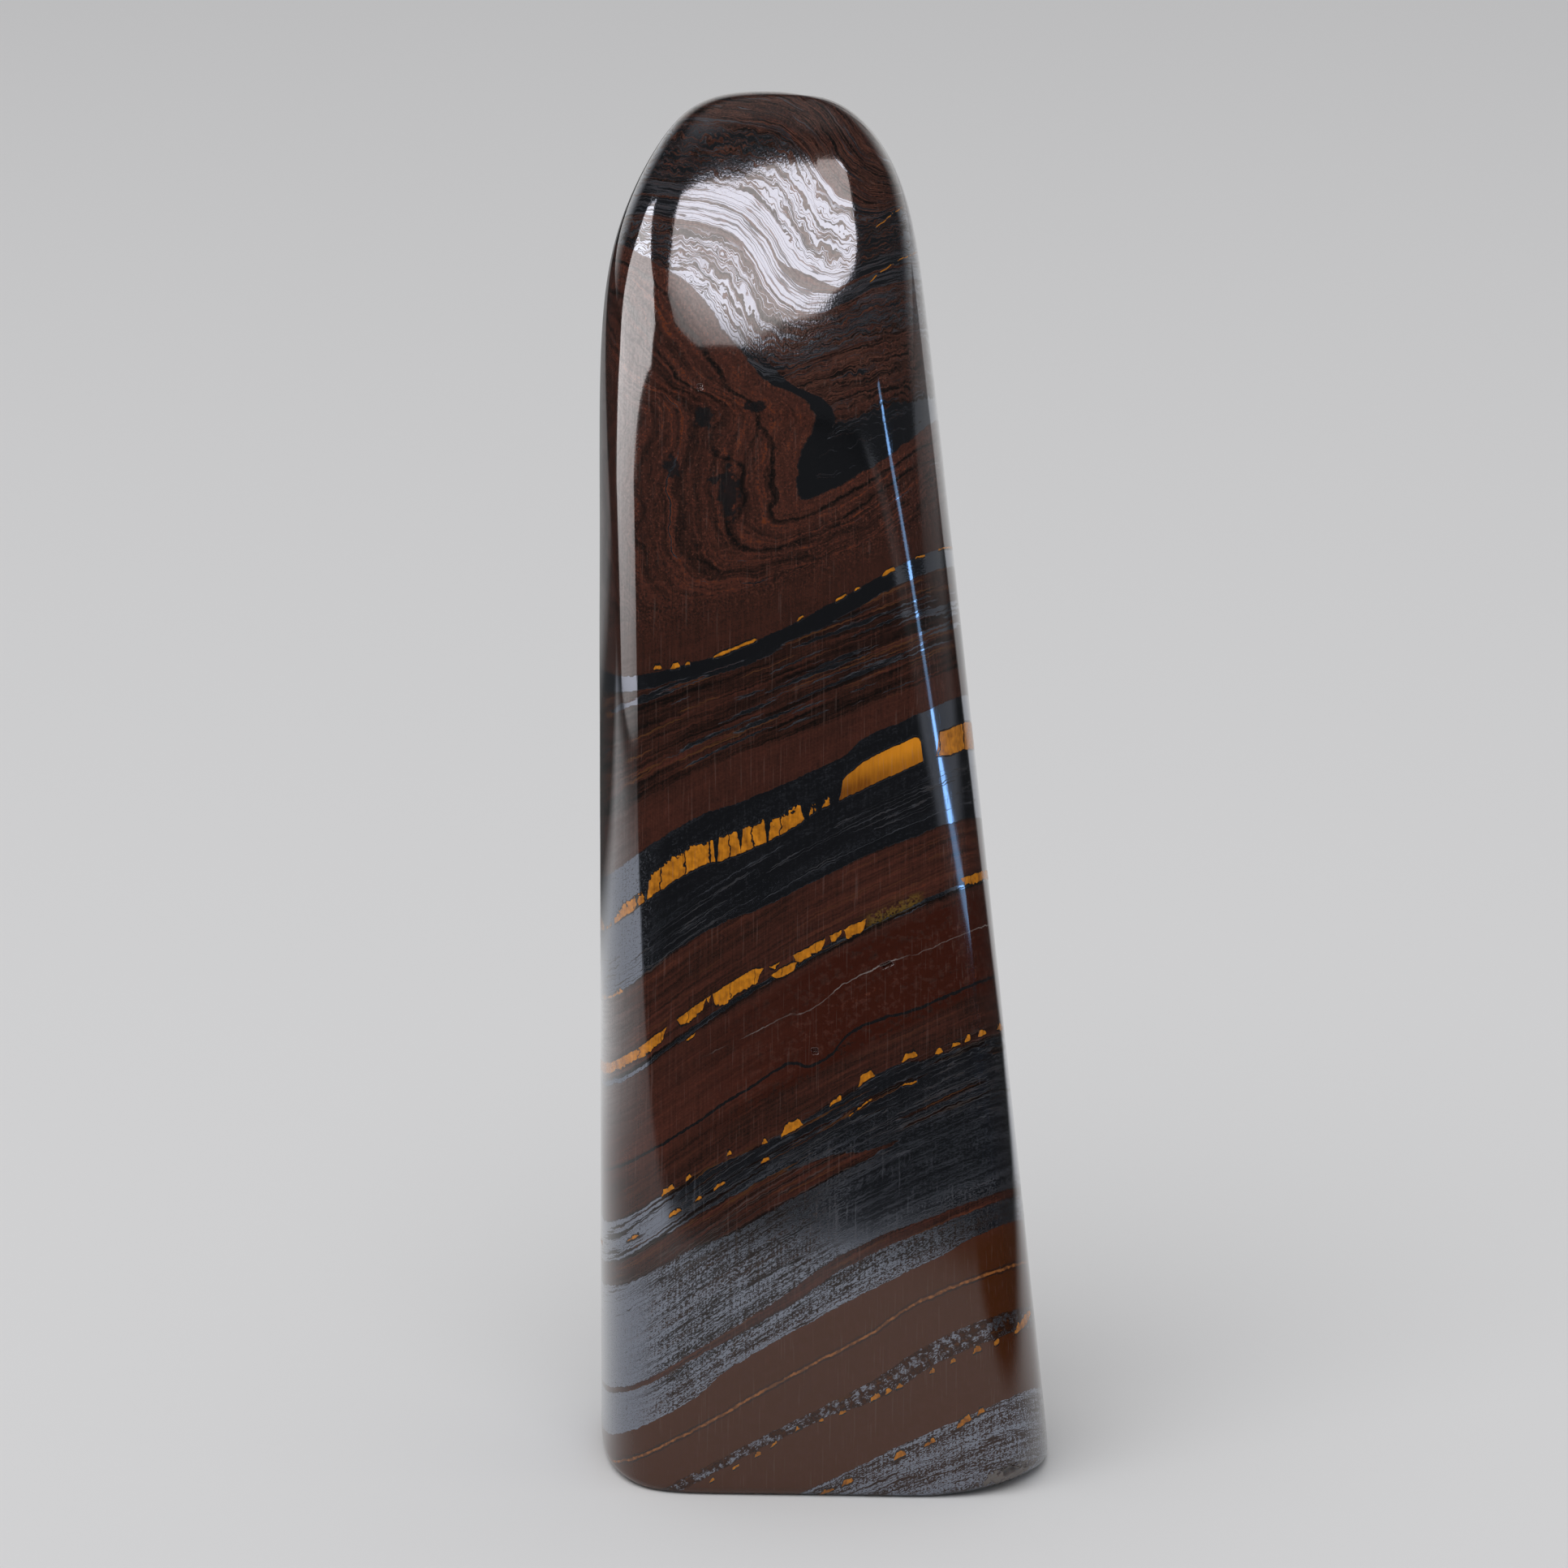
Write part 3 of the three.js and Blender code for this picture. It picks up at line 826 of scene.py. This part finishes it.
    def rows_of_gold(self, along):
        """Masks of the pieces in all the rows, and of their rinds."""
        gold, rind = 0.0, 0.0
        uneven = self.ragged * 0.7 + self.mottle.swing() * 1.6 + self.quick
        for own in GOLD_ROWS.values():
            row = PLAIN_ROW | own
            out = (self.height - self.drawn(along, row["line"])) * row["side"]
            outline = row["outline"] if "outline" in row else row_profile(row["pieces"], row["squareness"])
            thickness = self.drawn(along, outline)
            room = thickness - out + uneven * row["ragged"]
            there = thickness.rise(0.03, 0.14)
            gold = (out.rise(-0.05, 0.03) * room.rise(-0.03, 0.05) * there).at_least(gold)
            rind = (out.rise(-0.18, -0.09) * room.rise(-0.18, -0.09) * there).at_least(rind)
        return gold, rind

    def cracks_in_gold(self, along):
        """Black cracks across the broad row and, thinner, across the beads."""
        beads = self.height.near(*BEAD_ROW)
        across = along + self.blend(quick=0.7, ragged=0.3) + 0.4
        settings = {"voronoi_dimensions": "1D", "feature": "DISTANCE_TO_EDGE"}
        edge = self.node("ShaderNodeTexVoronoi", settings, {"W": across, "Scale": 0.45})
        crack = (edge + beads * 0.018).rise(0.045, 0.015)
        return crack * self.height.near(*BROKEN_GOLD).at_least(beads)

    def gold_tone_and_painted_sheen(self, along, lens):
        """How bright the gold is: its own tone with a painted sheen. Its fibres run across the rows, and
        their light and dark stripes stand in for the sheen along them. The lens has a painted highlight
        towards its upper edge and its right end.
        """
        fibre = self.sheets(self.even, *FIBRE).swing()
        plain = 0.56 + fibre * 0.7 + self.mottle.swing() * 1.4 - self.height.rise(*DULLER_GOLD) * 0.30
        # The lens's painted highlight: brighter towards its right end and its upper edge.
        painted_lens_highlight = 0.42 * along.rise(1.8, 8.0) + 0.55 * self.height.rise(61.2, 63.2) + fibre * 0.45
        return self.mix(plain, painted_lens_highlight, lens).at_least(0.0).at_most(1.0)

    def thread_crown(self):
        """Thin golden threads in the crown's right shoulder."""
        for left, right, foot, climb in CROWN_GOLD:
            beside = self.level + self.quick * 0.5 - foot - climb * (self.x - left)
            across = self.x.near((left + right) / 2, (right - left) / 2, 0.3)
            thread = beside.near(0.0, 0.02, 0.07) * across * self.mottle.rise(0.44, 0.52)
            self.paint(GOLD_BRIGHT, thread * 0.6)
            self.dull_metal(thread)

    # -- Finish --
    def tint_hematite(self):
        """Hematite's own colour. It comes late in the mix, so a thin lamina never turns chalky."""
        self.paint(HEMATITE, self.metal.rise(0.35, 1.0))
        self.hairline = self.scored.rise(0.62, 0.74)
        self.paint(HAIRLINE, self.hairline * 0.12)

    def polish(self):
        """Hematite shines as a metal. Jasper and gold are glossy, more so near the top and on the left."""
        low = self.even.rise(*LOW_BEDS) * (1.0 - self.smooth * 0.8)
        rough = 0.07 + low * self.metal * 0.03
        rough = rough + self.blend(gold=0.12, hairline=0.06, dull=0.08, worn=0.3)
        relief = self.scored.swing() * SCRATCH_RELIEF + self.grain.swing() * low * GRAIN_RELIEF
        relief = relief + self.freckle.swing() * self.z.rise(*CRINKLED_SKIN) * CRINKLE_RELIEF
        left = self.x.rise(*COATED_LEFT) * self.z.rise(*COATED_LEFT_HEIGHTS) * (1.0 - self.metal * 0.8)
        brushed = self.blend(hair=0.4, freckle=0.3, scored=0.3).rise(0.38, 0.62)
        coat = self.z.rise(*COATED_HEIGHTS).at_least(left) * (0.70 + 0.30 * brushed)
        sockets = {
            "Base Color": self.colour,
            "Metallic": self.metal,
            "Roughness": rough,
            "Normal": self.node("ShaderNodeBump", {}, {"Strength": 1.0, "Distance": MM, "Height": relief}),
            "IOR": STONE_IOR,
            "Coat Weight": coat,
            "Coat IOR": COAT_IOR,
            "Coat Roughness": COAT_ROUGHNESS,
        }
        self.show(self.node("ShaderNodeBsdfPrincipled", {}, sockets))


# ---- The stone ---------------------------------------------------------------------------------
MERGE_WITHIN = 0.001 * MM
QUAD_ANGLE = math.radians(60)
SMOOTHING = 2
WAVE_LENGTH, WAVE_DEPTH = 11 * MM, 0.045 * MM
FLAT_FOOT = 0.2 * MM
HOLLOW_CUTS = 6
HOLLOW_STEEPNESS = 2.2
HOLLOW_LOBES, HOLLOW_UNEVENNESS = 4, 0.18
REFINED_REACH, HOLLOW_REACH = 1.6, 2.0  # in half lengths of the hollow


def only(piece):
    """Deselects everything but the piece."""
    bpy.ops.object.select_all(action="DESELECT")
    piece.select_set(True)
    bpy.context.view_layer.objects.active = piece


def placed(name, data):
    """A new object in the scene."""
    made = bpy.data.objects.new(name, data)
    bpy.context.scene.collection.objects.link(made)
    return made


def merged_copy(node, name):
    """A copy of a CAD node with its loose triangles merged and paired into quads."""
    piece = placed(name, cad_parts[node].data.copy())
    piece.data.materials.clear()
    only(piece)
    bpy.ops.mesh.customdata_custom_splitnormals_clear()
    bpy.ops.object.mode_set(mode="EDIT")
    bpy.ops.mesh.select_all(action="SELECT")
    bpy.ops.mesh.remove_doubles(threshold=MERGE_WITHIN)
    bpy.ops.mesh.tris_convert_to_quads(face_threshold=QUAD_ANGLE, shape_threshold=QUAD_ANGLE)
    bpy.ops.mesh.normals_make_consistent(inside=False)
    bpy.ops.object.mode_set(mode="OBJECT")
    return piece


def applied(piece, kind, **settings):
    """Adds a modifier to the piece and applies it."""
    only(piece)
    modifier = piece.modifiers.new(kind.lower(), kind)
    for name, setting in settings.items():
        setattr(modifier, name, setting)
    bpy.ops.object.modifier_apply(modifier=modifier.name)


def clamped(share):
    return max(0.0, min(1.0, share))


def pushed_in(piece, name, depth, share_at, **settings):
    """Moves the surface inwards by the depth times the share at each vertex."""
    group = piece.vertex_groups.new(name=name)
    for vertex in piece.data.vertices:
        share = share_at(vertex.co)
        if share > 0.0:
            group.add([vertex.index], share, "REPLACE")
    applied(piece, "DISPLACE", strength=-depth, mid_level=0.0, vertex_group=name, **settings)
    piece.vertex_groups.clear()


def grind_by_hand(piece):
    """The faint waves that grinding by hand leaves in the faces. The base stays flat."""
    waves = bpy.data.textures.new("hand_ground", "CLOUDS")
    waves.noise_scale = WAVE_LENGTH
    waves.noise_depth = 0

    def clear_of_base(place):
        return clamped((place.z - FLAT_FOOT) / MM)

    pushed_in(piece, "walls", WAVE_DEPTH, clear_of_base, texture=waves, texture_coords="LOCAL")


def refined(piece, centre, reach, cuts):
    """Cuts the faces near a place into smaller ones."""
    only(piece)
    bpy.ops.object.mode_set(mode="EDIT")
    bpy.ops.mesh.select_mode(type="FACE")
    bpy.ops.mesh.select_all(action="DESELECT")
    bpy.ops.object.mode_set(mode="OBJECT")
    for face in piece.data.polygons:
        face.select = (face.center - centre).length < reach
    bpy.ops.object.mode_set(mode="EDIT")
    bpy.ops.mesh.subdivide(number_cuts=cuts, quadcorner="INNERVERT")
    bpy.ops.object.mode_set(mode="OBJECT")


def hollow(piece, name, centre, sizes, climb):
    """Sinks one hollow with steep, uneven walls."""
    length, height, depth = (size * MM for size in sizes)
    middle = Vector(centre) * MM
    refined(piece, middle, length * REFINED_REACH, HOLLOW_CUTS)
    turn = math.radians(climb)
    along = Vector((math.cos(turn), 0.0, math.sin(turn)))
    up = Vector((-math.sin(turn), 0.0, math.cos(turn)))

    def share(place):
        away = place - middle
        if away.length > length * HOLLOW_REACH:
            return 0.0
        across, rise = away.dot(along) / length, away.dot(up) / height
        uneven = HOLLOW_UNEVENNESS * math.sin(HOLLOW_LOBES * math.atan2(rise, across) + 1.0)
        reach = math.hypot(across, rise) + uneven
        return clamped((1.0 - reach) * HOLLOW_STEEPNESS)

    pushed_in(piece, name, depth, share)


def polished_tower():
    """The stone, smoothed, with its few hollows."""
    piece = merged_copy("ironstone_tower", "polished_tower")
    applied(piece, "SUBSURF", levels=SMOOTHING, render_levels=SMOOTHING)
    grind_by_hand(piece)
    for place in HOLLOWS:
        hollow(piece, **place)
    only(piece)
    bpy.ops.object.shade_smooth()
    piece.data.materials.append(Ironstone().owner)
    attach(piece, "root")
    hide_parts("ironstone_tower")
    return piece


# ---- Studio ------------------------------------------------------------------------------------
# In metres. The outlines of the lights are seen from the front, or along the tower's side.
FLOOR_RADIUS = 5.0
CLOTH_HEIGHT = 0.001  # above the floor
SOFTBOX_BACK = -0.8
SOFTBOX_OUTLINE = (
    (-0.22, 1.02), (-0.09, 0.99), (0.08, 0.925), (0.225, 1.06), (0.37, 1.13), (0.41, 1.09), (0.36, 0.87),
    (0.32, 0.80), (0.13, 0.65), (0.025, 0.42), (-0.03, 0.25), (-0.09, 0.205), (-0.17, 0.29),
    (-0.20, 0.45), (-0.165, 0.75),
)
LEFT_PANEL_ACROSS = -0.36
LEFT_PANEL_OUTLINE = (
    (-0.16, 0.0), (0.10, 0.0), (0.17, 0.025), (0.08, 0.07), (0.0, 0.17), (-0.08, 0.31), (-0.09, 0.42),
    (-0.22, 0.54), (-0.44, 0.54), (-0.68, 0.45), (-0.70, 0.24), (-0.53, 0.10), (-0.14, 0.04),
)
RIGHT_STRIP_ACROSS = 0.40
RIGHT_STRIP_OUTLINE = (
    (-0.49, 0.20), (-0.42, 0.20), (-0.37, 0.12), (-0.25, 0.083), (-0.15, 0.052), (0.07, 0.018),
    (0.07, 0.006), (-0.17, 0.038), (-0.28, 0.066), (-0.42, 0.105),
)
LAMP_PLACE, LAMP_AIM = (-0.40, -1.15, 2.0), (0.0, 0.0, 0.05)
LAMP_WIDTH, LAMP_WATTS = 2.2, 25.5
AIR_ON_MATT, AIR_IN_CAMERA = 0.48, 0.6
CAMERA_LENS, CAMERA_SENSOR = 150.0, 36.0
CAMERA_ELEVATION, CAMERA_DISTANCE = 13.0, 565.8 * MM
CAMERA_PIVOT, CAMERA_AIM = Vector((0.0, 0.0, 59.0)) * MM, Vector((-3.51, 0.0, 60.01)) * MM


def heading(elevation):
    """Unit vector from the stone out of its front, at an elevation above the horizon in degrees."""
    angle = math.radians(elevation)
    return Vector((0.0, -math.cos(angle), math.sin(angle)))


def turned_to(thing, aim):
    """Turns a lamp or a camera towards a place."""
    thing.rotation_euler = (Vector(aim) - thing.location).to_track_quat("-Z", "Y").to_euler()


def reflection_card(name, corners, material):
    """A flat card that shows only in the polish."""
    mesh = bpy.data.meshes.new(name)
    mesh.from_pydata(corners, [], [tuple(range(len(corners)))])
    mesh.materials.append(material)
    card = placed(name, mesh)
    card.visible_camera = False
    card.visible_diffuse = False
    card.visible_shadow = False


def light_card(name, corners, share_at, colour, bright, dim):
    """A card that shines, from dim to bright by the share at each place on it."""
    recipe = Recipe(bpy.data.materials.new(name + "_light"))
    share = share_at(*recipe.place())
    shine = recipe.between(recipe.glow(colour, dim), recipe.glow(colour, bright), share)
    reflection_card(name, corners, recipe.show(shine))


def softbox():
    """A warm white light in front and above. Its lower left corner is dimmer."""

    def corner(across, _, up):
        return (across + up * 0.6).rise(0.0, 0.30)

    corners = [(across, SOFTBOX_BACK, up) for across, up in SOFTBOX_OUTLINE]
    light_card("softbox", corners, corner, colour=(1.0, 0.93, 0.92), bright=2.6, dim=0.85)


def left_panel():
    """A white light on the left. It is dimmer at its foot."""

    def foot(_, __, up):
        return up.rise(-0.01, 0.075)

    corners = [(LEFT_PANEL_ACROSS, back, up) for back, up in LEFT_PANEL_OUTLINE]
    light_card("left_panel", corners, foot, colour=(1.0, 0.96, 0.96), bright=3.2, dim=0.9)


def right_strip():
    """A narrow blue light on the right, higher and dimmer at its near end."""

    def far_end(_, back, __):
        return back.rise(-0.42, -0.20)

    corners = [(RIGHT_STRIP_ACROSS, back, up) for back, up in RIGHT_STRIP_OUTLINE]
    light_card("right_strip", corners, far_end, colour=(0.32, 0.59, 1.0), bright=4.6, dim=2.2)


def dark_surround():
    """A dark cloth in front of the stone and on both sides, seen only in the polish. The pale floor
    shows next to the stone and in a wedge behind it."""
    recipe = Recipe(bpy.data.materials.new("dark_cloth"))
    across, back, _ = recipe.place()
    front = back.rise(-0.103, -0.122)
    right = (across - 0.8 * (back - 0.15).at_least(0.0)).rise(0.050, 0.085)
    behind = back.rise(0.15, 0.21) * (0.96 - 0.32 * back.rise(0.28, 0.36)) * across.rise(-0.03, -0.05)
    left = across.rise(-0.27, -0.36)
    thinner = 1.0 - 0.30 * across.rise(0.35, 0.75)
    cover = front.at_least(right).at_least(left).at_least(behind) * thinner
    look = recipe.between(recipe.clear(), recipe.matt((0.03, 0.03, 0.03)), cover)
    ends = ((-1, -1), (1, -1), (1, 1), (-1, 1))
    corners = [(x * FLOOR_RADIUS, y * FLOOR_RADIUS, CLOTH_HEIGHT) for x, y in ends]
    reflection_card("dark_surround", corners, recipe.show(look))


def overhead_light():
    """A wide soft lamp. It lights the matt colours and leaves no reflection of its own."""
    light = bpy.data.lights.new("overhead", "AREA")
    light.shape = "DISK"
    light.size = LAMP_WIDTH
    light.energy = LAMP_WATTS
    lamp = placed("overhead", light)
    lamp.location = LAMP_PLACE
    turned_to(lamp, LAMP_AIM)
    lamp.visible_glossy = False
    lamp.visible_camera = False


def studio_air():
    """Dim all round for the polish, paler behind the stone and overhead, and even for the matt
    surfaces."""
    world = bpy.data.worlds.new("studio")
    bpy.context.scene.world = world
    recipe = Recipe(world)
    way = {"Vector": recipe.coordinates("Generated")}
    _, back, up = recipe.parts("ShaderNodeSeparateXYZ", way)
    polish = 0.03 + 0.55 * back.rise(0.4, 1.0) * up.rise(0.75, 0.5) + 0.15 * up.rise(0.8, 0.95)
    glossy = recipe.node("ShaderNodeLightPath", {}, {}, "Is Glossy Ray")
    camera = recipe.node("ShaderNodeLightPath", {}, {}, "Is Camera Ray")
    strength = recipe.mix(recipe.mix(AIR_ON_MATT, polish, glossy), AIR_IN_CAMERA, camera)
    sockets = {"Color": (1.0, 1.0, 1.0, 1.0), "Strength": strength}
    recipe.show(recipe.node("ShaderNodeBackground", {}, sockets), "ShaderNodeOutputWorld")


def studio_floor():
    bpy.ops.object.select_all(action="DESELECT")
    bpy.ops.mesh.primitive_circle_add(vertices=96, radius=FLOOR_RADIUS, fill_type="NGON")
    floor = bpy.context.object
    floor.name = "studio_floor"
    recipe = Recipe(bpy.data.materials.new("pale_floor"))
    floor.data.materials.append(recipe.show(recipe.matt(FLOOR_COLOUR)))


def studio_camera():
    lens = bpy.data.cameras.new("camera")
    lens.lens = CAMERA_LENS
    lens.sensor_width = CAMERA_SENSOR
    lens.clip_start = 0.01
    lens.clip_end = 50.0
    camera = placed("camera", lens)
    camera.location = CAMERA_PIVOT + heading(CAMERA_ELEVATION) * CAMERA_DISTANCE
    turned_to(camera, CAMERA_AIM)
    bpy.context.scene.camera = camera


studio_camera()
studio_floor()
studio_air()
overhead_light()
softbox()
left_panel()
right_strip()
dark_surround()
polished_tower()
bpy.context.scene.view_settings.view_transform = "Standard"
